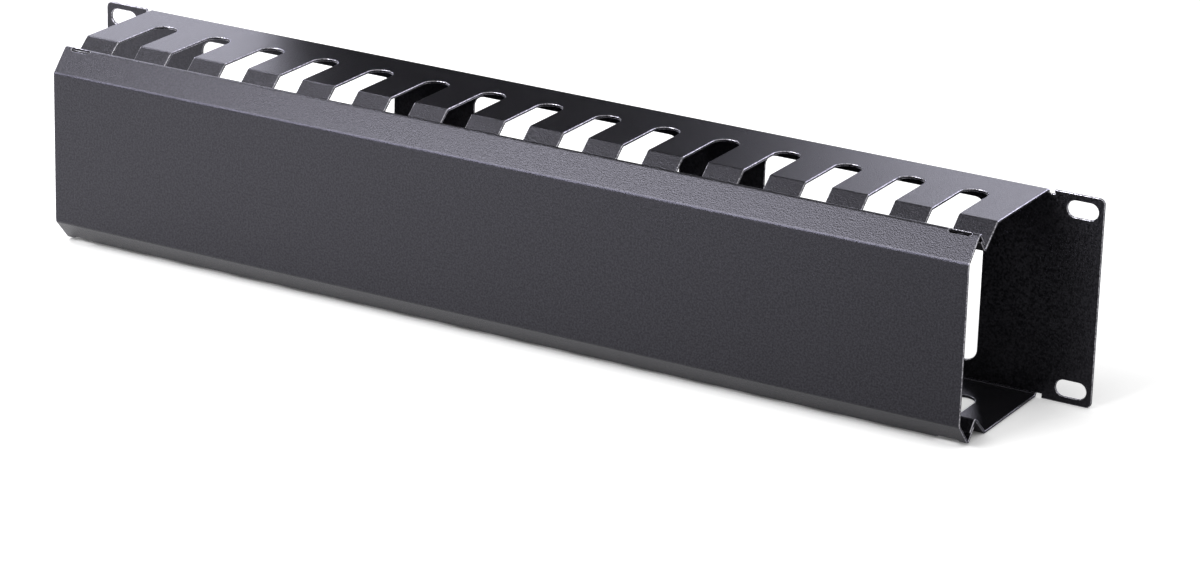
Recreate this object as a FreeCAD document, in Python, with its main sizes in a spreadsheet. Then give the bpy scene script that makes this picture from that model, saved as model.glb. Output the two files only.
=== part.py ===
import FreeCAD, Part
import math
import os
import Sketcher

# Two-unit horizontal cable manager for a 19 inch rack: a finger chassis folded from one steel sheet, and a
# clip-on cover folded from another.  X runs across the rack, Y points to the rear and Z up.  The origin is
# the centre of the rack bolt pattern, on the mounting face at the rear of the ears.

DRIVING_SIZES = {
    # chassis sheet
    "panel_width": 483.6,
    "panel_height": 88.9,
    "chassis_sheet": 1.2,
    "chassis_bend": 0.5,
    # rack ears
    "ear_width": 24.3,
    "ear_corner": 2.5,
    "relief_width": 2.4,
    "relief_margin": 0.1,
    "bolt_edge_side": 9.25,
    "bolt_edge_end": 6.35,
    "bolt_slot_length": 13.4,
    "bolt_slot_width": 7.0,
    # back plate windows
    "window_count": 3,
    "window_bridge": 40.25,
    "window_margin": 27.2,
    "window_rail": 9.5,
    "window_corner": 5.0,
    # walls and hook lips
    "wall_depth": 49.3,
    "lip_angle": 41.0,
    "lip_length": 12.95,
    "hook_length": 5.6,
    # finger slots
    "slot_width": 11.6,
    "slot_pitch": 27.85,
    "slot_setback": 18.0,
    "end_finger_least": 10.0,
    # cover sheet
    "cover_sheet": 1.0,
    "ridge_bend": 0.6,
    "face_bend": 1.5,
    "bevel_angle": 48.0,
    "bevel_length": 14.2,
    "hook_clearance": 0.3,
    "hook_room": 3.3,
    "return_room": 2.1,
    # relief slots near the ends of the cover's ridges
    "ridge_slot_length": 10.0,
    "ridge_slot_width": 2.4,
    "ridge_slot_margin": 3.5,
}

# Sizes that follow from the driving ones.  The cover is laid out from the chassis lip: "along" runs down
# the slope of the lip from the wall's front bend, and "out" runs square to it, up the hook.
WORKED_OUT_SIZES = {
    "half_width": "panel_width / 2",
    "half_height": "panel_height / 2",
    "half_length": "half_width - ear_width",
    "body_length": "2 * half_length",
    "chassis_outer_bend": "chassis_bend + chassis_sheet",
    "ridge_outer_bend": "ridge_bend + cover_sheet",
    "face_outer_bend": "face_bend + cover_sheet",
    "relief_outer": "half_length + relief_width",
    "relief_floor": "half_height - chassis_outer_bend - relief_margin",
    "bolt_up": "half_height - bolt_edge_end",
    "bolt_slot_reach": "(bolt_slot_length - bolt_slot_width) / 2",
    "bolt_slot_inner": "half_width - bolt_edge_side - bolt_slot_reach",
    "bolt_slot_outer": "half_width - bolt_edge_side + bolt_slot_reach",
    "window_width": "(body_length - 2 * window_margin - (window_count - 1) * window_bridge) / window_count",
    "window_row": "(window_count - 1) * (window_width + window_bridge)",
    "window_far_side": "half_length - window_margin",
    "window_near_side": "window_far_side - window_width",
    "window_top": "half_height - window_rail",
    "slots_each_side": "floor((half_length - slot_width / 2 - end_finger_least) / slot_pitch)",
    "slot_count": "2 * slots_each_side + 1",
    "slot_row": "2 * slots_each_side * slot_pitch",
    "first_slot": "slot_row / 2",
    "slot_arc_depth": "slot_setback + slot_width / 2",
    "slot_mouth": "wall_depth + lip_length + hook_length + chassis_sheet",
    "ridge_along": "lip_length - hook_clearance - cover_sheet",
    "ridge_out": "hook_length + hook_room + cover_sheet",
    "ridge_depth": "wall_depth + ridge_along * cos(lip_angle * 1 deg) + ridge_out * sin(lip_angle * 1 deg)",
    "ridge_height": "half_height - ridge_along * sin(lip_angle * 1 deg) + ridge_out * cos(lip_angle * 1 deg)",
    "front_depth": "ridge_depth + bevel_length * cos(bevel_angle * 1 deg)",
    "front_half_height": "ridge_height - bevel_length * sin(bevel_angle * 1 deg)",
    "return_length": "ridge_out - return_room",
    "return_depth": "ridge_depth - return_length * sin(lip_angle * 1 deg)",
    "return_height": "ridge_height - return_length * cos(lip_angle * 1 deg)",
    "ridge_slot_outer": "half_length - ridge_slot_margin - ridge_slot_width / 2",
    "ridge_slot_inner": "ridge_slot_outer - ridge_slot_length + ridge_slot_width",
    "ridge_slot_depth": "ridge_depth + cover_sheet / 2",
}

LINE_START, LINE_END, ARC_CENTRE = 1, 2, 3
SKETCH_ORIGIN = (-1, 1)
ACROSS_AXIS = -1
QUARTER_TURN = math.pi / 2
MATCH = 0.001


def new_sizes(doc):
    """Sheet with a named cell for each size."""
    sheet = doc.addObject("Spreadsheet::Sheet", "Sizes")
    cells = {name: str(value) for name, value in DRIVING_SIZES.items()}
    cells.update({name: "=" + formula for name, formula in WORKED_OUT_SIZES.items()})
    for row, (name, content) in enumerate(cells.items(), start=1):
        sheet.set(f"A{row}", name)
        sheet.set(f"B{row}", content)
        sheet.setAlias(f"B{row}", name)
    doc.recompute()
    return sheet


def new_body(doc, label):
    body = doc.addObject("PartDesign::Body", label)
    body.Label = label
    body.Placement = FreeCAD.Placement()
    return body


def origin_feature(body, role):
    return next(item for item in body.Origin.OriginFeatures if item.Role == role)


def new_sketch(body, plane, name):
    sketch = body.newObject("Sketcher::SketchObject", name)
    sketch.AttachmentSupport = [(origin_feature(body, plane), "")]
    sketch.MapMode = "FlatFace"
    return sketch


def new_feature(body, kind, name, tied_sizes=None, **settings):
    """PartDesign feature at the body's tip, with the settings in tied_sizes tied to the named sizes."""
    feature = body.newObject("PartDesign::" + kind, name)
    for setting, value in settings.items():
        setattr(feature, setting, value)
    for setting, size_name in (tied_sizes or {}).items():
        feature.setExpression(setting, "Sizes." + size_name)
    body.Tip = feature
    body.Document.recompute()
    return feature


def at(x, y):
    """Point or direction in a sketch."""
    return FreeCAD.Vector(x, y, 0)


def constrain(sketch, kind, *elements):
    sketch.addConstraint(Sketcher.Constraint(kind, *elements))


def dimension(sketch, kind, elements, size_name):
    """Driving dimension of a sketch, tied to the named size."""
    size = getattr(sketch.Document.Sizes, size_name)
    unit = ""
    if kind == "Angle":
        size = math.radians(size)
        unit = " * 1 deg"
    index = sketch.addConstraint(Sketcher.Constraint(kind, *elements, size))
    sketch.setExpression(f"Constraints[{index}]", f"Sizes.{size_name}{unit}")


def place(sketch, element, position, across=None, up=None):
    """Dimension a point's distances from the origin, on the side of it where the point is drawn."""
    drawn = sketch.getPoint(element, position)
    for kind, distance, size_name in (("DistanceX", drawn.x, across), ("DistanceY", drawn.y, up)):
        if size_name is None:
            continue
        from_origin = (*SKETCH_ORIGIN, element, position)
        to_origin = (element, position, *SKETCH_ORIGIN)
        dimension(sketch, kind, from_origin if distance > 0 else to_origin, size_name)


def add_outline(sketch, corners):
    """Closed run of straight lines through the corners, joined end to end."""
    ends = corners[1:] + corners[:1]
    lines = [sketch.addGeometry(Part.LineSegment(start, end)) for start, end in zip(corners, ends)]
    for line, following in zip(lines, lines[1:] + lines[:1]):
        constrain(sketch, "Coincident", line, LINE_END, following, LINE_START)
    return lines


def add_rounded_outline(sketch, centres, radius, first_angle, sweep):
    """Closed outline of equal arcs about the centres, each joined to the next by a tangent line."""
    normal = FreeCAD.Vector(0, 0, 1)
    arcs = []
    for number, centre in enumerate(centres):
        start_angle = first_angle + number * sweep
        circle = Part.Circle(centre, normal, radius)
        arcs.append(sketch.addGeometry(Part.ArcOfCircle(circle, start_angle, start_angle + sweep)))
    lines = []
    for arc, following in zip(arcs, arcs[1:] + arcs[:1]):
        joint = Part.LineSegment(sketch.getPoint(arc, LINE_END), sketch.getPoint(following, LINE_START))
        line = sketch.addGeometry(joint)
        constrain(sketch, "Tangent", arc, LINE_END, line, LINE_START)
        constrain(sketch, "Tangent", line, LINE_END, following, LINE_START)
        lines.append(line)
    for arc in arcs[1:]:
        constrain(sketch, "Equal", arcs[0], arc)
    return arcs, lines


def add_slot(sketch, first_centre, last_centre, width_name):
    """Round-ended slot between two centres."""
    width = getattr(sketch.Document.Sizes, width_name)
    run = last_centre - first_centre
    first_angle = math.atan2(run.y, run.x) + QUARTER_TURN
    centres = [first_centre, last_centre]
    arcs, _ = add_rounded_outline(sketch, centres, width / 2, first_angle, 2 * QUARTER_TURN)
    dimension(sketch, "Diameter", (arcs[0],), width_name)
    return arcs


def offset_corners(corners, thickness):
    """Corners of the sheet's other face, which lies to the left of a run of corners."""
    runs = [(end - start).normalize() for start, end in zip(corners, corners[1:])]
    sides = [at(-run.y, run.x) for run in runs]
    offset = [corners[0] + sides[0] * thickness]
    for corner, side, next_side in zip(corners[1:-1], sides, sides[1:]):
        offset.append(corner + (side + next_side) * (thickness / (1 + side.dot(next_side))))
    offset.append(corners[-1] + sides[-1] * thickness)
    return offset


def add_sheet_section(sketch, corners, thickness_name):
    """Section of a folded sheet with one face through the corners.  Returns that face's lines."""
    thickness = getattr(sketch.Document.Sizes, thickness_name)
    other_corners = offset_corners(corners, thickness)
    lines = add_outline(sketch, corners + other_corners[::-1])
    runs = len(corners) - 1
    face_lines = lines[:runs]
    tip, root = lines[runs], lines[-1]
    other_lines = lines[runs + 1:-1][::-1]
    for face_line, other_line in zip(face_lines, other_lines):
        constrain(sketch, "Parallel", face_line, other_line)
        dimension(sketch, "Distance", (other_line, LINE_START, face_line), thickness_name)
    constrain(sketch, "Perpendicular", face_lines[0], root)
    constrain(sketch, "Perpendicular", face_lines[-1], tip)
    return face_lines, other_corners


def lengthwise_edges(shape, section_corners):
    """Names of the edges along X through the section's corners, above and below the middle."""
    names = []
    for number, edge in enumerate(shape.Edges, start=1):
        middle = edge.CenterOfMass
        seen = at(middle.y, abs(middle.z))
        along_x = abs(edge.tangentAt(edge.FirstParameter).x) > 1 - MATCH
        if along_x and any(seen.distanceToPoint(corner) < MATCH for corner in section_corners):
            names.append(f"Edge{number}")
    return names


def fold_sheet(body, section):
    """Pad the upper half section along the body and mirror it.  Every fold is still sharp."""
    pad = new_feature(
        body, "Pad", section.Name + "_pad", {"Length": "body_length"}, Profile=section, SideType="Symmetric"
    )
    return new_feature(
        body, "Mirrored", section.Name + "_mirrored",
        Originals=[pad], MirrorPlane=(origin_feature(body, "XY_Plane"), [""]),
    )


def round_bends(body, sheet, name, section_corners, radius_name):
    """Round the folds of a sheet that run along X through the section's corners."""
    folds = lengthwise_edges(sheet.Shape, section_corners)
    return new_feature(body, "Fillet", name, {"Radius": radius_name}, Base=(sheet, folds))


def mirror_to_left(body, feature):
    new_feature(
        body, "Mirrored", feature.Name + "_left",
        Originals=[feature], MirrorPlane=(origin_feature(body, "YZ_Plane"), [""]),
    )


def repeat_across(body, feature, row_length, count):
    new_feature(
        body, "LinearPattern", feature.Name + "_row", {"Length": row_length, "Occurrences": count},
        Originals=[feature], Direction=(origin_feature(body, "X_Axis"), [""]),
    )


def lip_directions(sizes):
    """Directions down the slope of the chassis lip and out along its hook."""
    turn = math.radians(sizes.lip_angle)
    return at(-math.cos(turn), -math.sin(turn)), at(-math.sin(turn), math.cos(turn))


def fold_chassis(body, sizes):
    """Back plate, walls and hooked lips, before any cut-out."""
    section = new_sketch(body, "YZ_Plane", "chassis_section")
    along, out = lip_directions(sizes)
    middle = at(0, 0)
    rear_bend = at(0, sizes.half_height)
    front_bend = at(-sizes.wall_depth, sizes.half_height)
    valley = front_bend + along * sizes.lip_length
    hook_tip = valley + out * sizes.hook_length
    corners = [middle, rear_bend, front_bend, valley, hook_tip]
    (plate, wall, lip, hook), inner_corners = add_sheet_section(section, corners, "chassis_sheet")
    constrain(section, "Coincident", plate, LINE_START, *SKETCH_ORIGIN)
    constrain(section, "Vertical", plate)
    constrain(section, "Horizontal", wall)
    constrain(section, "Perpendicular", lip, hook)
    dimension(section, "Distance", (plate,), "half_height")
    dimension(section, "Distance", (wall,), "wall_depth")
    dimension(section, "Angle", (wall, lip), "lip_angle")
    dimension(section, "Distance", (lip,), "lip_length")
    dimension(section, "Distance", (hook,), "hook_length")
    _, inner_rear, inner_front, inner_valley, _ = inner_corners
    sheet = fold_sheet(body, section)
    concave, convex = [inner_rear, inner_front, valley], [rear_bend, front_bend, inner_valley]
    sheet = round_bends(body, sheet, "chassis_concave_bends", concave, "chassis_bend")
    round_bends(body, sheet, "chassis_convex_bends", convex, "chassis_outer_bend")


def add_ear_outline(sketch, sizes):
    """Outline of the right ear, with a bend relief notch beside each wall."""
    lower_half = [
        at(sizes.half_length, -sizes.relief_floor),
        at(sizes.relief_outer, -sizes.relief_floor),
        at(sizes.relief_outer, -sizes.half_height),
        at(sizes.half_width, -sizes.half_height),
    ]
    upper_half = [at(corner.x, -corner.y) for corner in reversed(lower_half)]
    lines = add_outline(sketch, lower_half + upper_half)
    low_floor, low_side, bottom, edge, top, high_side, high_floor, joint = lines
    for line in (low_floor, bottom, top, high_floor):
        constrain(sketch, "Horizontal", line)
    for line in (low_side, edge, high_side, joint):
        constrain(sketch, "Vertical", line)
    place(sketch, joint, LINE_START, across="half_length", up="relief_floor")
    place(sketch, joint, LINE_END, up="relief_floor")
    place(sketch, high_side, LINE_START, across="relief_outer", up="half_height")
    place(sketch, low_side, LINE_END, across="relief_outer", up="half_height")
    place(sketch, edge, LINE_START, across="half_width")


def add_ears(body, sizes):
    """Slotted rack ears in the plane of the back plate."""
    sketch = new_sketch(body, "XZ_Plane", "ear_outline")
    add_ear_outline(sketch, sizes)
    for height in (sizes.bolt_up, -sizes.bolt_up):
        inner = at(sizes.bolt_slot_inner, height)
        outer = at(sizes.bolt_slot_outer, height)
        inner_end, outer_end = add_slot(sketch, inner, outer, "bolt_slot_width")
        place(sketch, inner_end, ARC_CENTRE, across="bolt_slot_inner", up="bolt_up")
        place(sketch, outer_end, ARC_CENTRE, across="bolt_slot_outer", up="bolt_up")
    ear = new_feature(body, "Pad", "ear", {"Length": "chassis_sheet"}, Profile=sketch)
    mirror_to_left(body, ear)
    round_ear_corners(body, sizes)


def round_ear_corners(body, sizes):
    base = body.Tip
    names = []
    for number, edge in enumerate(base.Shape.Edges, start=1):
        middle = edge.CenterOfMass
        at_side = abs(abs(middle.x) - sizes.half_width) < MATCH
        at_end = abs(abs(middle.z) - sizes.half_height) < MATCH
        if at_side and at_end:
            names.append(f"Edge{number}")
    new_feature(body, "Fillet", "ear_corners", {"Radius": "ear_corner"}, Base=(base, names))


def cut_windows(body, sizes):
    """Rounded openings in the back plate, with a bridge between neighbours."""
    sketch = new_sketch(body, "XZ_Plane", "window_outline")
    left = -sizes.window_far_side + sizes.window_corner
    right = -sizes.window_near_side - sizes.window_corner
    top = sizes.window_top - sizes.window_corner
    centres = [at(left, -top), at(right, -top), at(right, top), at(left, top)]
    arcs, lines = add_rounded_outline(sketch, centres, sizes.window_corner, 2 * QUARTER_TURN, QUARTER_TURN)
    bottom_line, right_line, top_line, left_line = lines
    for line in (bottom_line, top_line):
        constrain(sketch, "Horizontal", line)
        place(sketch, line, LINE_START, up="window_top")
    for line in (right_line, left_line):
        constrain(sketch, "Vertical", line)
    place(sketch, left_line, LINE_START, across="window_far_side")
    place(sketch, right_line, LINE_START, across="window_near_side")
    dimension(sketch, "Radius", (arcs[0],), "window_corner")
    window = new_feature(body, "Pocket", "window", {"Length": "chassis_sheet"}, Profile=sketch, Reversed=True)
    repeat_across(body, window, "window_row", "window_count")


def cut_through_walls(body, sketch, name):
    """Cut a sketch seen from above through both the upper and the lower wall."""
    return new_feature(body, "Pocket", name, Profile=sketch, Type="ThroughAll", SideType="Symmetric")


def cut_finger_slots(body, sizes):
    """Slots that part the walls into fingers, from a round end near the back plate to past the hooks."""
    sketch = new_sketch(body, "XY_Plane", "finger_slot_outline")
    rear = at(-sizes.first_slot, -sizes.slot_arc_depth)
    mouth = at(-sizes.first_slot, -sizes.slot_mouth)
    rear_end, mouth_end = add_slot(sketch, rear, mouth, "slot_width")
    place(sketch, rear_end, ARC_CENTRE, across="first_slot", up="slot_arc_depth")
    place(sketch, mouth_end, ARC_CENTRE, across="first_slot", up="slot_mouth")
    slot = cut_through_walls(body, sketch, "finger_slot")
    repeat_across(body, slot, "slot_row", "slot_count")


def fold_cover(body, sizes):
    """Front face, bevels and hooked returns, hooked over the chassis lips with a running clearance."""
    section = new_sketch(body, "YZ_Plane", "cover_section")
    return_tip = at(-sizes.return_depth, sizes.return_height)
    ridge = at(-sizes.ridge_depth, sizes.ridge_height)
    front_bend = at(-sizes.front_depth, sizes.front_half_height)
    front_middle = at(-sizes.front_depth, 0)
    corners = [return_tip, ridge, front_bend, front_middle]
    (turned_edge, bevel, front), inner_corners = add_sheet_section(section, corners, "cover_sheet")
    place(section, turned_edge, LINE_START, across="return_depth", up="return_height")
    place(section, bevel, LINE_START, across="ridge_depth", up="ridge_height")
    place(section, bevel, LINE_END, across="front_depth", up="front_half_height")
    constrain(section, "Vertical", front)
    constrain(section, "PointOnObject", front, LINE_END, ACROSS_AXIS)
    _, inner_ridge, inner_front, _ = inner_corners
    sheet = fold_sheet(body, section)
    sheet = round_bends(body, sheet, "ridge_inside", [inner_ridge], "ridge_bend")
    sheet = round_bends(body, sheet, "ridge_outside", [ridge], "ridge_outer_bend")
    sheet = round_bends(body, sheet, "face_inside", [inner_front], "face_bend")
    round_bends(body, sheet, "face_outside", [front_bend], "face_outer_bend")


def cut_ridge_slots(body, sizes):
    """Relief slots along the ridges, just inside the cover's ends."""
    sketch = new_sketch(body, "XY_Plane", "ridge_slot_outline")
    inner = at(sizes.ridge_slot_inner, -sizes.ridge_slot_depth)
    outer = at(sizes.ridge_slot_outer, -sizes.ridge_slot_depth)
    inner_end, outer_end = add_slot(sketch, inner, outer, "ridge_slot_width")
    place(sketch, inner_end, ARC_CENTRE, across="ridge_slot_inner", up="ridge_slot_depth")
    place(sketch, outer_end, ARC_CENTRE, across="ridge_slot_outer", up="ridge_slot_depth")
    mirror_to_left(body, cut_through_walls(body, sketch, "ridge_slot"))


def make_finger_chassis(doc, sizes):
    body = new_body(doc, "finger_chassis")
    fold_chassis(body, sizes)
    add_ears(body, sizes)
    cut_windows(body, sizes)
    cut_finger_slots(body, sizes)
    return body


def make_cover(doc, sizes):
    body = new_body(doc, "cover")
    fold_cover(body, sizes)
    cut_ridge_slots(body, sizes)
    return body


def check(doc, bodies):
    """Stop if any object failed, or if a sub-part is not one valid solid."""
    failed = [item.Name for item in doc.Objects if {"Invalid", "Error"} & set(item.State)]
    if failed:
        raise RuntimeError(f"failed objects: {failed}")
    for body in bodies:
        shape = body.Shape
        if shape.isNull() or not shape.isValid() or len(shape.Solids) != 1:
            raise RuntimeError(f"{body.Label} is not one valid solid")


def main():
    doc = FreeCAD.newDocument("cable_manager")
    sizes = new_sizes(doc)
    bodies = [make_finger_chassis(doc, sizes), make_cover(doc, sizes)]
    doc.recompute()
    check(doc, bodies)
    os.makedirs("parts", exist_ok=True)
    for body in bodies:
        body.Shape.exportStep(f"parts/{body.Label}.step")
        print(f"{body.Label}: {body.Shape.Volume:.0f} cubic millimetres, {body.Shape.BoundBox}")


main()
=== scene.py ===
import math
import bpy
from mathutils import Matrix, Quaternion, Vector


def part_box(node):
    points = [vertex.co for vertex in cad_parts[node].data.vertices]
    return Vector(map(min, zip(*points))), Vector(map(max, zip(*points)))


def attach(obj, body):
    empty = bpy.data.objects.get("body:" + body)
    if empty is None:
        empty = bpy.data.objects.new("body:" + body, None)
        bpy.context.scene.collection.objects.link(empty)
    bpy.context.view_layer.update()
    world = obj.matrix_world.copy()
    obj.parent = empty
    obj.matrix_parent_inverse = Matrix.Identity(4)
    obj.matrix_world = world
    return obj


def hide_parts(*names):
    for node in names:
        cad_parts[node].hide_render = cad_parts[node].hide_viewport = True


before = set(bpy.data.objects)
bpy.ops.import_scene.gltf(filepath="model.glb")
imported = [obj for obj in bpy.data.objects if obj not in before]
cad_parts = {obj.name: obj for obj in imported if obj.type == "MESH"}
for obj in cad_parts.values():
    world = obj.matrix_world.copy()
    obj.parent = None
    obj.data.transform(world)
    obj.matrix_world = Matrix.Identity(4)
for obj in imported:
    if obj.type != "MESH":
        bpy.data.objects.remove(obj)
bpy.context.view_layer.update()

# Finger chassis.  One blank of 1.2 mm steel with windows, rack slots and finger slots, folded into a channel
# whose walls end in hooked lips.  It is powder coated last, and the lighter metallic coat along the cut edges
# is a painted highlight.
# Here the channel is folded first and punched afterwards, which gives the same shape.
panel_low, panel_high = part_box("finger_chassis")
panel_width = panel_high[0] - panel_low[0]
panel_height = panel_high[2] - panel_low[2]
chassis_sheet = 0.0012
chassis_bend = 0.0005
wall_depth = 0.0493
lip_angle = math.radians(41)
lip_length = 0.01295
hook_length = 0.0056
ear_width = 0.0243
ear_corner = 0.0025
relief_width = 0.0024
relief_depth = 0.0018
rack_slot_spacing = Vector((0.4651, 0.0762, 0))
rack_slot_size = Vector((0.0134, 0.007, 0))
window_count = 3
window_bridge = 0.04025
window_margin = 0.0272
window_rail = 0.0095
window_corner = 0.005
slot_count = 15
slot_pitch = 0.02785
slot_width = 0.0116
slot_setback = 0.018
slot_length = 0.06
punch_travel = 0.01
arc_steps = 8
chassis_rim = 0.00035
# Colours of the coat's grain: the dark pits are painted shade, the light specks a painted highlight.
pit_shade_colour = (0.0007, 0.0007, 0.0008)
speck_highlight_colour = (0.018, 0.0175, 0.02)
# The rims' lighter metallic coat is a painted highlight along the cut edges.
rim_highlight_pit_colour = (0.12, 0.118, 0.128)
rim_highlight_speck_colour = (0.5, 0.49, 0.53)
channel_length = panel_width - 2 * ear_width
window_width = (channel_length - 2 * window_margin - (window_count - 1) * window_bridge) / window_count


def middle_of_sheet(corners, sheet):
    """Corners halfway through a sheet, from those on the face that the sheet lies to the left of."""
    runs = [(end - start).normalized() for start, end in zip(corners, corners[1:])]
    sides = [Vector((0, -run.z, run.y)) for run in runs]
    sides = [sides[0], *sides, sides[-1]]
    return [
        corner + (before + after) * (sheet / 2 / (1 + before.dot(after)))
        for corner, before, after in zip(corners, sides, sides[1:])
    ]


def new_tree(name, sizes):
    """Geometry node tree with a named input for each size, and the sockets that carry them."""
    kinds = {
        float: "NodeSocketFloat", int: "NodeSocketInt", Vector: "NodeSocketVector",
        bpy.types.Material: "NodeSocketMaterial",
    }
    tree = bpy.data.node_groups.new(name, "GeometryNodeTree")
    tree.interface.new_socket("Geometry", in_out="OUTPUT", socket_type="NodeSocketGeometry")
    for label, value in sizes.items():
        tree.interface.new_socket(label, in_out="INPUT", socket_type=kinds[type(value)])
    return tree, tree.nodes.new("NodeGroupInput").outputs


def add_node(tree, kind, inputs, **settings):
    """Node with its settings made and its inputs set to values or joined to sockets.  Returns its output."""
    node = tree.nodes.new(kind)
    for setting, value in settings.items():
        setattr(node, setting, value)
    for label, sources in inputs.items():
        for source in sources if isinstance(sources, list) else [sources]:
            if isinstance(source, bpy.types.NodeSocket):
                tree.links.new(source, node.inputs[label])
            else:
                node.inputs[label].default_value = source
    return node.outputs[0]


def join(tree, *parts):
    return add_node(tree, "GeometryNodeJoinGeometry", {0: list(parts)})


def merge(tree, geometry):
    return add_node(tree, "GeometryNodeMergeByDistance", {"Geometry": geometry, "Distance": 1e-6})


def along(tree, axis, size, share=1.0):
    """Vector along one axis, of a share of the size."""
    part = add_node(tree, "ShaderNodeMath", {0: size, 1: share}, operation="MULTIPLY")
    return add_node(tree, "ShaderNodeCombineXYZ", {axis: part})


def move(tree, geometry, **transform):
    settings = {name.capitalize(): value for name, value in transform.items()}
    return add_node(tree, "GeometryNodeTransform", {"Geometry": geometry, **settings})


def thicken(tree, flat, offset):
    """Closed solid between a flat face and its copy at the offset."""
    grown = add_node(tree, "GeometryNodeExtrudeMesh", {"Mesh": flat, "Offset": offset, "Individual": False})
    base = add_node(tree, "GeometryNodeFlipFaces", {"Mesh": flat})
    return merge(tree, join(tree, grown, base))


def fold(tree, corners, face_radius, bend_radius, sheet, length, faces_front):
    """Sheet folded along X, alike above and below.

    The corners run along the middle of the sheet, from the upper edge of its widest face to its upper tip.
    The two edges of that face have their own bend radius.
    """
    sides = [
        add_node(tree, "GeometryNodeCurvePrimitiveLine", {"Start": start, "End": end})
        for start, end in zip(corners, corners[1:])
    ]
    upper = join(tree, *sides)
    lower = move(tree, upper, scale=(1, 1, -1))
    lower_corner = add_node(
        tree, "ShaderNodeVectorMath", {0: corners[0], 1: (1, 1, -1)}, operation="MULTIPLY"
    )
    widest = add_node(tree, "GeometryNodeCurvePrimitiveLine", {"Start": lower_corner, "End": corners[0]})
    chain = add_node(tree, "GeometryNodeCurveToMesh", {"Curve": join(tree, upper, widest, lower)})
    middle = add_node(tree, "GeometryNodeMeshToCurve", {"Mesh": merge(tree, chain)})
    depth, face_depth = [
        add_node(tree, "ShaderNodeSeparateXYZ", {"Vector": place}).node.outputs["Y"]
        for place in (add_node(tree, "GeometryNodeInputPosition", {}), corners[0])
    ]
    same_depth = 0.00001
    at_face = add_node(
        tree, "ShaderNodeMath", {0: depth, 1: face_depth, 2: same_depth}, operation="COMPARE"
    )
    radius = add_node(tree, "ShaderNodeMix", {"Factor": at_face, "A": bend_radius, "B": face_radius})
    bent = add_node(
        tree, "GeometryNodeFilletCurve", {"Curve": middle, "Radius": radius, "Count": arc_steps}, mode="POLY"
    )
    thickness = add_node(
        tree, "GeometryNodeCurvePrimitiveLine",
        {"Start": along(tree, "Y", sheet, -0.5), "End": along(tree, "Y", sheet, 0.5)},
    )
    section = add_node(tree, "GeometryNodeCurveToMesh", {"Curve": bent, "Profile Curve": thickness})
    section = add_node(tree, "GeometryNodeFlipFaces", {"Mesh": section, "Selection": faces_front})
    start = move(tree, section, translation=along(tree, "X", length, -0.5))
    return thicken(tree, start, along(tree, "X", length))


def rounded_block(tree, width, height, corner, depth):
    """Block with rounded corners, standing on z = 0."""
    outline = add_node(tree, "GeometryNodeCurvePrimitiveQuadrilateral", {"Width": width, "Height": height})
    rounded = add_node(
        tree, "GeometryNodeFilletCurve",
        {"Curve": outline, "Radius": corner, "Count": arc_steps, "Limit Radius": True}, mode="POLY",
    )
    face = add_node(tree, "GeometryNodeFillCurve", {"Curve": rounded}, mode="NGONS")
    return thicken(tree, merge(tree, face), along(tree, "Z", depth))


def row(tree, solid, step, count):
    """Copies of a solid in an even row about the middle."""
    last = add_node(tree, "ShaderNodeMath", {0: count, 1: 1.0}, operation="SUBTRACT")
    span = add_node(tree, "ShaderNodeVectorMath", {0: step, "Scale": last}, operation="SCALE")
    first = add_node(tree, "ShaderNodeVectorMath", {0: span, "Scale": -0.5}, operation="SCALE")
    points = add_node(tree, "GeometryNodeMeshLine", {"Count": count, "Start Location": first, "Offset": step})
    copies = add_node(tree, "GeometryNodeInstanceOnPoints", {"Points": points, "Instance": solid})
    return add_node(tree, "GeometryNodeRealizeInstances", {"Geometry": copies})


def weld(tree, *solids):
    """One solid from several that overlap."""
    return add_node(
        tree, "GeometryNodeMeshBoolean", {"Mesh 2": list(solids)}, operation="UNION", solver="EXACT"
    )


def punch(tree, solid, *cutters):
    """The solid without what the cutters take out of it."""
    return add_node(
        tree, "GeometryNodeMeshBoolean", {"Mesh 1": solid, "Mesh 2": list(cutters)},
        operation="DIFFERENCE", solver="EXACT",
    )


def finish_tree(tree, geometry, coat):
    """Output of the tree, with a bevel weight on each edge that stands out sharply, as no bend does."""
    least_cut_angle = math.radians(40)
    turn = add_node(tree, "GeometryNodeInputMeshEdgeAngle", {}).node.outputs["Signed Angle"]
    sharp = add_node(tree, "ShaderNodeMath", {0: turn, 1: least_cut_angle}, operation="GREATER_THAN")
    marked = add_node(
        tree, "GeometryNodeStoreNamedAttribute",
        {"Geometry": geometry, "Name": "bevel_weight_edge", "Value": sharp}, data_type="FLOAT", domain="EDGE",
    )
    plain = add_node(tree, "GeometryNodeRealizeInstances", {"Geometry": marked})
    coated = add_node(tree, "GeometryNodeSetMaterial", {"Geometry": plain, "Material": coat})
    output = tree.nodes.new("NodeGroupOutput")
    tree.links.new(coated, output.inputs[0])


def run_tree(name, tree, sizes):
    """Object with the plain mesh that the tree makes from the sizes."""
    piece = bpy.data.objects.new(name, bpy.data.meshes.new(name))
    bpy.context.scene.collection.objects.link(piece)
    modifier = piece.modifiers.new("shape", "NODES")
    modifier.node_group = tree
    for socket in tree.interface.items_tree:
        if socket.in_out == "INPUT":
            modifier[socket.identifier] = sizes[socket.name]
    bpy.context.view_layer.update()
    made = bpy.data.meshes.new_from_object(piece.evaluated_get(bpy.context.evaluated_depsgraph_get()))
    piece.modifiers.remove(modifier)
    made.materials.clear()
    made.materials.append(sizes["Coat"])
    piece.data = made
    return piece


def round_cut_edges(piece, radius, coat):
    """Rounded rim with a coat of its own along each cut edge, which is a painted highlight.  The flat faces
    still look flat.
    """
    piece.data.shade_smooth()
    # The rim's coat is a painted highlight.
    piece.data.materials.append(coat)
    rim = piece.modifiers.new("painted highlight rim", "BEVEL")
    rim.material = 1
    rim.width = radius
    rim.segments = 2
    rim.limit_method = "WEIGHT"
    rim.use_clamp_overlap = False
    flat = piece.modifiers.new("flat faces", "WEIGHTED_NORMAL")
    flat.keep_sharp = True


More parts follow.
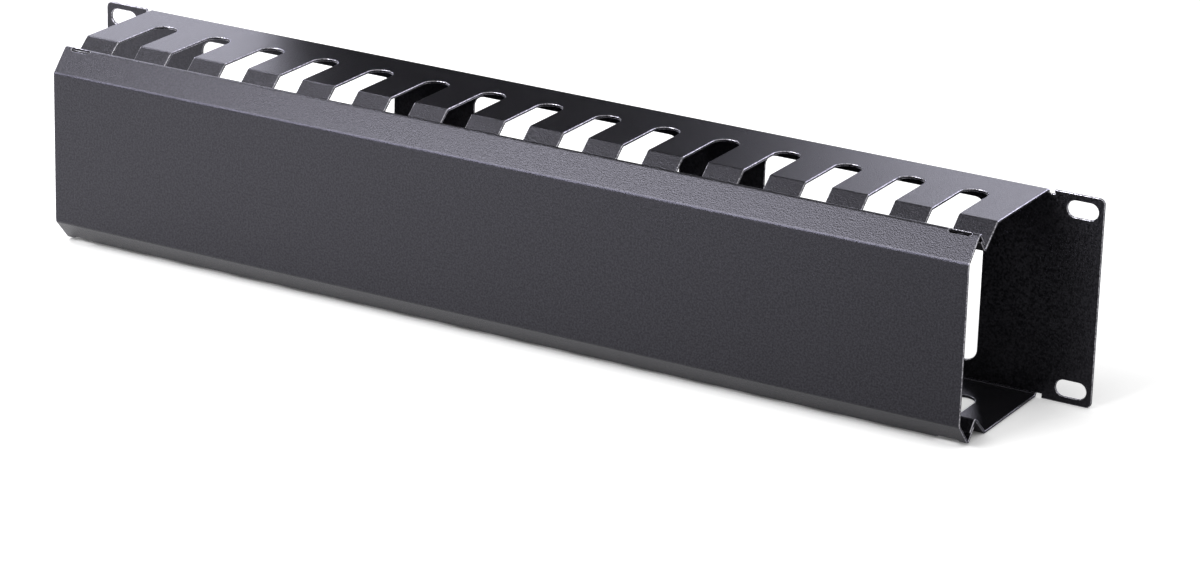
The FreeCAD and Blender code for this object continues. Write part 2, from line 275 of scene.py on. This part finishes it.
def powder_coat(name, pit_shade_colour, speck_highlight_colour, metallic):
    """Satin powder coat, with painted shade in the pits of its grain and a painted highlight on its specks.
    """
    coat = bpy.data.materials.new(name)
    coat.use_nodes = True
    tree = coat.node_tree
    shader = tree.nodes["Principled BSDF"]
    shader.inputs["Roughness"].default_value = 0.3
    shader.inputs["IOR"].default_value = 1.47
    shader.inputs["Metallic"].default_value = metallic
    shader.inputs["Specular Tint"].default_value = (0.86, 0.84, 1, 1)
    place = tree.nodes.new("ShaderNodeTexCoord").outputs["Object"]
    grain = add_node(
        tree, "ShaderNodeTexNoise", {"Vector": place, "Scale": 2000.0, "Detail": 1.0, "Roughness": 0.6}
    )
    # Noise for the grain's painted shade in its pits and painted highlight on its specks.
    grain_shade_flecks = add_node(
        tree, "ShaderNodeTexNoise", {"Vector": place, "Scale": 1200.0, "Detail": 1.0, "Roughness": 0.6}
    )
    grain_shade_speckle = add_node(tree, "ShaderNodeValToRGB", {"Fac": grain_shade_flecks})
    grain_shade_speckle.node.color_ramp.elements[0].position = 0.35
    grain_shade_speckle.node.color_ramp.elements[0].color = (*pit_shade_colour, 1)
    grain_shade_speckle.node.color_ramp.elements[1].position = 0.65
    grain_shade_speckle.node.color_ramp.elements[1].color = (*speck_highlight_colour, 1)
    tree.links.new(grain_shade_speckle, shader.inputs["Base Color"])
    relief = add_node(tree, "ShaderNodeBump", {"Height": grain, "Strength": 1.0, "Distance": 0.0001})
    tree.links.new(relief, shader.inputs["Normal"])
    return coat


chassis_coat = powder_coat("chassis powder", pit_shade_colour, speck_highlight_colour, metallic=0.0)
# A lighter metallic coat for the rims: a painted highlight along the cut edges.
rim_highlight_coat = powder_coat("rim painted highlight", rim_highlight_pit_colour, rim_highlight_speck_colour, metallic=1.0)
rear_bend = Vector((0, 0, panel_height / 2))
front_bend = Vector((0, -wall_depth, panel_height / 2))
down_lip = Vector((0, -math.cos(lip_angle), -math.sin(lip_angle)))
up_hook = Vector((0, -math.sin(lip_angle), math.cos(lip_angle)))
valley = front_bend + down_lip * lip_length
hook_tip = valley + up_hook * hook_length
chassis_corners = middle_of_sheet([Vector((0, 0, 0)), rear_bend, front_bend, valley, hook_tip], chassis_sheet)
chassis_sizes = {
    "Rear Bend": chassis_corners[1],
    "Front Bend": chassis_corners[2],
    "Valley": chassis_corners[3],
    "Hook Tip": chassis_corners[4],
    "Bend Radius": chassis_bend + chassis_sheet / 2,
    "Sheet": chassis_sheet,
    "Channel Length": channel_length,
    "Panel Width": panel_width,
    "Panel Height": panel_height,
    "Ear Corner": ear_corner,
    "Relief To Relief": channel_length + 2 * relief_width,
    "Relief Depth": relief_depth,
    "Window Width": window_width,
    "Window Height": panel_height - 2 * window_rail,
    "Window Corner": window_corner,
    "Window Step": Vector((window_width + window_bridge, 0, 0)),
    "Window Count": window_count,
    "Finger Slot Width": slot_width,
    "Finger Slot Length": slot_length,
    "Finger Slot Middle": Vector((0, -slot_setback - slot_length / 2, -panel_height)),
    "Finger Slot Step": Vector((slot_pitch, 0, 0)),
    "Finger Slot Count": slot_count,
    "Rack Slot Length": rack_slot_size.x,
    "Rack Slot Width": rack_slot_size.y,
    "Rack Slot Across": Vector((rack_slot_spacing.x, 0, 0)),
    "Rack Slot Up": Vector((0, 0, rack_slot_spacing.y)),
    "Punch Travel": punch_travel,
    "Coat": chassis_coat,
}
chassis_tree, size = new_tree("chassis blank and folds", chassis_sizes)
upright = {"rotation": (math.pi / 2, 0, 0)}
chassis_path = [size[label] for label in ("Rear Bend", "Front Bend", "Valley", "Hook Tip")]
channel = fold(
    chassis_tree, chassis_path, size["Bend Radius"], size["Bend Radius"], size["Sheet"],
    size["Channel Length"], False,
)
back_plate = rounded_block(
    chassis_tree, size["Panel Width"], size["Panel Height"], size["Ear Corner"], size["Sheet"]
)
back_plate = move(chassis_tree, back_plate, **upright)
double_relief = add_node(
    chassis_tree, "ShaderNodeMath", {0: size["Relief Depth"], 1: 2.0}, operation="MULTIPLY"
)
punch_start = along(chassis_tree, "Y", size["Punch Travel"], 0.5)
notch = rounded_block(chassis_tree, size["Relief To Relief"], double_relief, 0.0, size["Punch Travel"])
notch = move(chassis_tree, notch, translation=punch_start, **upright)
notches = row(chassis_tree, notch, along(chassis_tree, "Z", size["Panel Height"]), 2)
sheet = weld(chassis_tree, channel, punch(chassis_tree, back_plate, notches))
window = rounded_block(
    chassis_tree, size["Window Width"], size["Window Height"], size["Window Corner"], size["Punch Travel"]
)
window = move(chassis_tree, window, translation=punch_start, **upright)
windows = row(chassis_tree, window, size["Window Step"], size["Window Count"])
finger_slot = rounded_block(
    chassis_tree, size["Finger Slot Width"], size["Finger Slot Length"], size["Finger Slot Width"],
    add_node(chassis_tree, "ShaderNodeMath", {0: size["Panel Height"], 1: 2.0}, operation="MULTIPLY"),
)
finger_slot = move(chassis_tree, finger_slot, translation=size["Finger Slot Middle"])
finger_slots = row(chassis_tree, finger_slot, size["Finger Slot Step"], size["Finger Slot Count"])
rack_slot = rounded_block(
    chassis_tree, size["Rack Slot Length"], size["Rack Slot Width"], size["Rack Slot Width"],
    size["Punch Travel"],
)
rack_slot = move(chassis_tree, rack_slot, translation=punch_start, **upright)
rack_slot_pair = row(chassis_tree, rack_slot, size["Rack Slot Across"], 2)
rack_slots = row(chassis_tree, rack_slot_pair, size["Rack Slot Up"], 2)
chassis = punch(chassis_tree, sheet, windows, finger_slots, rack_slots)
finish_tree(chassis_tree, chassis, size["Coat"])
finger_chassis = run_tree("powder_coated_chassis", chassis_tree, chassis_sizes)
round_cut_edges(finger_chassis, chassis_rim, rim_highlight_coat)
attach(finger_chassis, "chassis")
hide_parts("finger_chassis")

# Cover.  A second sheet, 1 mm thick, folded into a shallow tray: a front face, two bevels and two returns
# that spring in behind the hooks of the chassis.  A small slot relieves each end of both ridges.
cover_sheet = 0.001
ridge_bend = 0.0006
face_bend = 0.0015
bevel_angle = math.radians(48)
bevel_length = 0.0142
hook_clearance = 0.0003
hook_room = 0.0033
return_room = 0.0021
ridge_slot_length = 0.01
ridge_slot_width = 0.0024
ridge_slot_margin = 0.0035
cover_rim = 0.0003
return_foot = front_bend + down_lip * (lip_length - hook_clearance - cover_sheet)
ridge = return_foot + up_hook * (hook_length + hook_room + cover_sheet)
return_tip = return_foot + up_hook * return_room
face_edge = ridge + Vector((0, -math.cos(bevel_angle), -math.sin(bevel_angle))) * bevel_length
face_middle = Vector((0, face_edge.y, 0))
cover_corners = middle_of_sheet([return_tip, ridge, face_edge, face_middle], cover_sheet)
ridge_slot_middle = channel_length / 2 - ridge_slot_margin - ridge_slot_length / 2
# The cover's coat has the same painted shade in the grain's pits and painted highlight on its specks.
cover_coat = powder_coat("cover powder", pit_shade_colour, speck_highlight_colour, metallic=0.0)
cover_sizes = {
    "Front Bend": cover_corners[2],
    "Ridge": cover_corners[1],
    "Return Tip": cover_corners[0],
    "Face Bend": face_bend + cover_sheet / 2,
    "Ridge Bend": ridge_bend + cover_sheet / 2,
    "Sheet": cover_sheet,
    "Length": channel_length,
    "Ridge Slot Length": ridge_slot_length,
    "Ridge Slot Width": ridge_slot_width,
    "Ridge Slot Middle": Vector((0, ridge.y - cover_sheet / 2, -panel_height)),
    "Ridge Slot Step": Vector((2 * ridge_slot_middle, 0, 0)),
    "Ridge Slot Depth": 2 * panel_height,
    "Coat": cover_coat,
}
cover_tree, size = new_tree("cover blank and folds", cover_sizes)
cover_path = [size[label] for label in ("Front Bend", "Ridge", "Return Tip")]
tray = fold(
    cover_tree, cover_path, size["Face Bend"], size["Ridge Bend"], size["Sheet"], size["Length"], True
)
ridge_slot = rounded_block(
    cover_tree, size["Ridge Slot Length"], size["Ridge Slot Width"], size["Ridge Slot Width"],
    size["Ridge Slot Depth"],
)
ridge_slot = move(cover_tree, ridge_slot, translation=size["Ridge Slot Middle"])
ridge_slots = row(cover_tree, ridge_slot, size["Ridge Slot Step"], 2)
finish_tree(cover_tree, punch(cover_tree, tray, ridge_slots), size["Coat"])
cover = run_tree("powder_coated_cover", cover_tree, cover_sizes)
round_cut_edges(cover, cover_rim, rim_highlight_coat)
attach(cover, "cover_plate")
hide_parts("cover")

# Studio.  A white floor inside a light tent, with one soft box above the front.  The panels show only where
# the coating mirrors them: a bright wall and a dark card behind, a dark card overhead, and three strips that
# draw the light lines on the cut edges, the ridges and the cover's front bend.
floor_reach = 4.0
floor_level = panel_low[2]
floor_grey = 0.8
floor_glow = 0.7
contact_reach = 0.07
shade_start = -0.25
shade_end = 0.2
tent_light = 0.45
card_grey = 0.01
panel_tint = (0.88, 0.875, 1, 1)


def flat_panel(name, corners):
    """One four-sided face that belongs to the studio."""
    mesh = bpy.data.meshes.new(name)
    mesh.from_pydata(corners, [], [(0, 1, 2, 3)])
    panel = bpy.data.objects.new(name, mesh)
    bpy.context.scene.collection.objects.link(panel)
    return panel


def plain_paint(name, grey):
    """Dull paint, and its shader."""
    paint = bpy.data.materials.new(name)
    paint.use_nodes = True
    shader = paint.node_tree.nodes["Principled BSDF"]
    shader.inputs["Base Color"].default_value = (grey, grey, grey, 1)
    shader.inputs["Roughness"].default_value = 0.9
    shader.inputs["Specular IOR Level"].default_value = 0.0
    return paint, shader


def seen_directly(tree):
    """1 for rays that show the background as it is: from the camera, or mirrored by or through a surface."""
    path = tree.nodes.new("ShaderNodeLightPath").outputs
    either = add_node(
        tree, "ShaderNodeMath", {0: path["Is Camera Ray"], 1: path["Is Glossy Ray"]}, operation="MAXIMUM"
    )
    return add_node(tree, "ShaderNodeMath", {0: either, 1: path["Is Transmission Ray"]}, operation="MAXIMUM")


def shade_to_the_right(tree):
    """Share of the floor's glow that the coating mirrors, less to the right.  The camera sees all of it."""
    place = tree.nodes.new("ShaderNodeTexCoord").outputs["Object"]
    across = add_node(tree, "ShaderNodeSeparateXYZ", {"Vector": place})
    share = add_node(
        tree, "ShaderNodeMapRange",
        {"Value": across, "From Min": shade_start, "From Max": shade_end, "To Min": 1.1, "To Max": 0.0},
    )
    straight = tree.nodes.new("ShaderNodeLightPath").outputs["Is Camera Ray"]
    return add_node(tree, "ShaderNodeMath", {0: share, 1: straight}, operation="MAXIMUM")


def lay_floor():
    """White floor that glows where nothing stands close over it, so that it keeps the object's shadow.  The
    glow's fading near the object is a painted contact shadow over that real shadow.
    """
    sides = ((-1, -1), (1, -1), (1, 1), (-1, 1))
    floor = flat_panel("floor", [(x * floor_reach, y * floor_reach, floor_level) for x, y in sides])
    paint, shader = plain_paint("floor_paint", floor_grey)
    tree = paint.node_tree
    shader.inputs["Emission Color"].default_value = (1, 1, 1, 1)
    # Ambient occlusion dims the glow close to the object: a painted contact shadow.
    painted_contact_shadow = add_node(tree, "ShaderNodeAmbientOcclusion", {"Distance": contact_reach}, samples=8)
    open_share = painted_contact_shadow.node.outputs["AO"]
    glow = add_node(tree, "ShaderNodeMath", {0: seen_directly(tree), 1: open_share}, operation="MULTIPLY")
    glow = add_node(tree, "ShaderNodeMath", {0: glow, 1: floor_glow}, operation="MULTIPLY")
    glow = add_node(tree, "ShaderNodeMath", {0: glow, 1: shade_to_the_right(tree)}, operation="MULTIPLY")
    tree.links.new(glow, shader.inputs["Emission Strength"])
    floor.data.materials.append(paint)


def mirrored_panel(name, near, far, rise, grey=0.0, brightness=0.0):
    """Panel from a near to a far corner, and on by the rise, that only mirroring surfaces see."""
    near, far, rise = Vector(near), Vector(far), Vector(rise)
    panel = flat_panel(name, [near, far, far + rise, near + rise])
    paint, shader = plain_paint(name + "_paint", grey)
    shader.inputs["Emission Color"].default_value = panel_tint
    shader.inputs["Emission Strength"].default_value = brightness
    paint.cycles.emission_sampling = "NONE"
    panel.data.materials.append(paint)
    panel.visible_camera = False
    panel.visible_diffuse = False
    panel.visible_shadow = False


def soft_box(name, place, width, height, brightness):
    """Lamp that faces the middle of the object."""
    lamp = bpy.data.lights.new(name, "AREA")
    lamp.shape = "RECTANGLE"
    lamp.size = width
    lamp.size_y = height
    lamp.energy = brightness * math.pi * width * height
    box = bpy.data.objects.new(name, lamp)
    bpy.context.scene.collection.objects.link(box)
    box.location = place
    box.rotation_euler = (-Vector(place)).to_track_quat("-Z", "Y").to_euler()
    box.visible_camera = False


def pitch_light_tent():
    """World that shows as white, and lights the object less than that."""
    tent = bpy.data.worlds.new("light tent")
    bpy.context.scene.world = tent
    tent.use_nodes = True
    tree = tent.node_tree
    level = add_node(
        tree, "ShaderNodeMapRange", {"Value": seen_directly(tree), "To Min": tent_light, "To Max": 1.0}
    )
    tree.links.new(level, tree.nodes["Background"].inputs["Strength"])
    tree.nodes["Background"].inputs["Color"].default_value = (1, 1, 1, 1)


lay_floor()
mirrored_panel(
    "bright_wall", near=(-1.7, 1.3, floor_level), far=(0.1, 1.3, floor_level), rise=(0, 0, 1.3),
    brightness=2.35,
)
mirrored_panel(
    "dark_card", near=(-0.231, 0.117, floor_level), far=(-0.305, 0.9, floor_level), rise=(0, 0, 1.0),
    grey=card_grey,
)
mirrored_panel(
    "ceiling_card", near=(-0.46, -0.04, 1.0), far=(0.3, -0.04, 1.0), rise=(0, -0.42, 0),
    grey=card_grey,
)
mirrored_panel(
    "edge_strip", near=(0.45, 1.15, 0.05), far=(0.95, 1.0, 0.05), rise=(0, 0, 1.0),
    brightness=5.0,
)
mirrored_panel(
    "ridge_strip", near=(-0.9, 0.25, 0.55), far=(-0.64, 0.25, 0.55), rise=(0, 0, 0.5),
    brightness=25.0,
)
mirrored_panel(
    "bend_strip", near=(-1.3, -1.0, 0.4), far=(-0.1, -1.1, 0.4), rise=(0, 0, 0.36),
    brightness=14.0,
)
soft_box("front_soft_box", place=(-0.36, -0.775, 0.90), width=0.85, height=0.42, brightness=12.5)
pitch_light_tent()
bpy.context.scene.view_settings.view_transform = "Standard"

# Camera.  A long lens from the right of the front and a little above it, which leans slightly to one side.
# The azimuth and the elevation say from where it looks, as seen from the object.
azimuth = math.radians(29.272)
elevation = math.radians(19.942)
roll = math.radians(1.704)
camera_place = (0.87338, -1.53386, 0.59738)
towards_camera = Vector((
    math.sin(azimuth) * math.cos(elevation), -math.cos(azimuth) * math.cos(elevation), math.sin(elevation)
))
lens = bpy.data.cameras.new("camera")
lens.lens = 131.859
lens.sensor_width = 36
camera = bpy.data.objects.new("camera", lens)
bpy.context.scene.collection.objects.link(camera)
camera.location = camera_place
camera.rotation_mode = "QUATERNION"
camera.rotation_quaternion = (-towards_camera).to_track_quat("-Z", "Y") @ Quaternion((0, 0, 1), roll)
bpy.context.scene.camera = camera
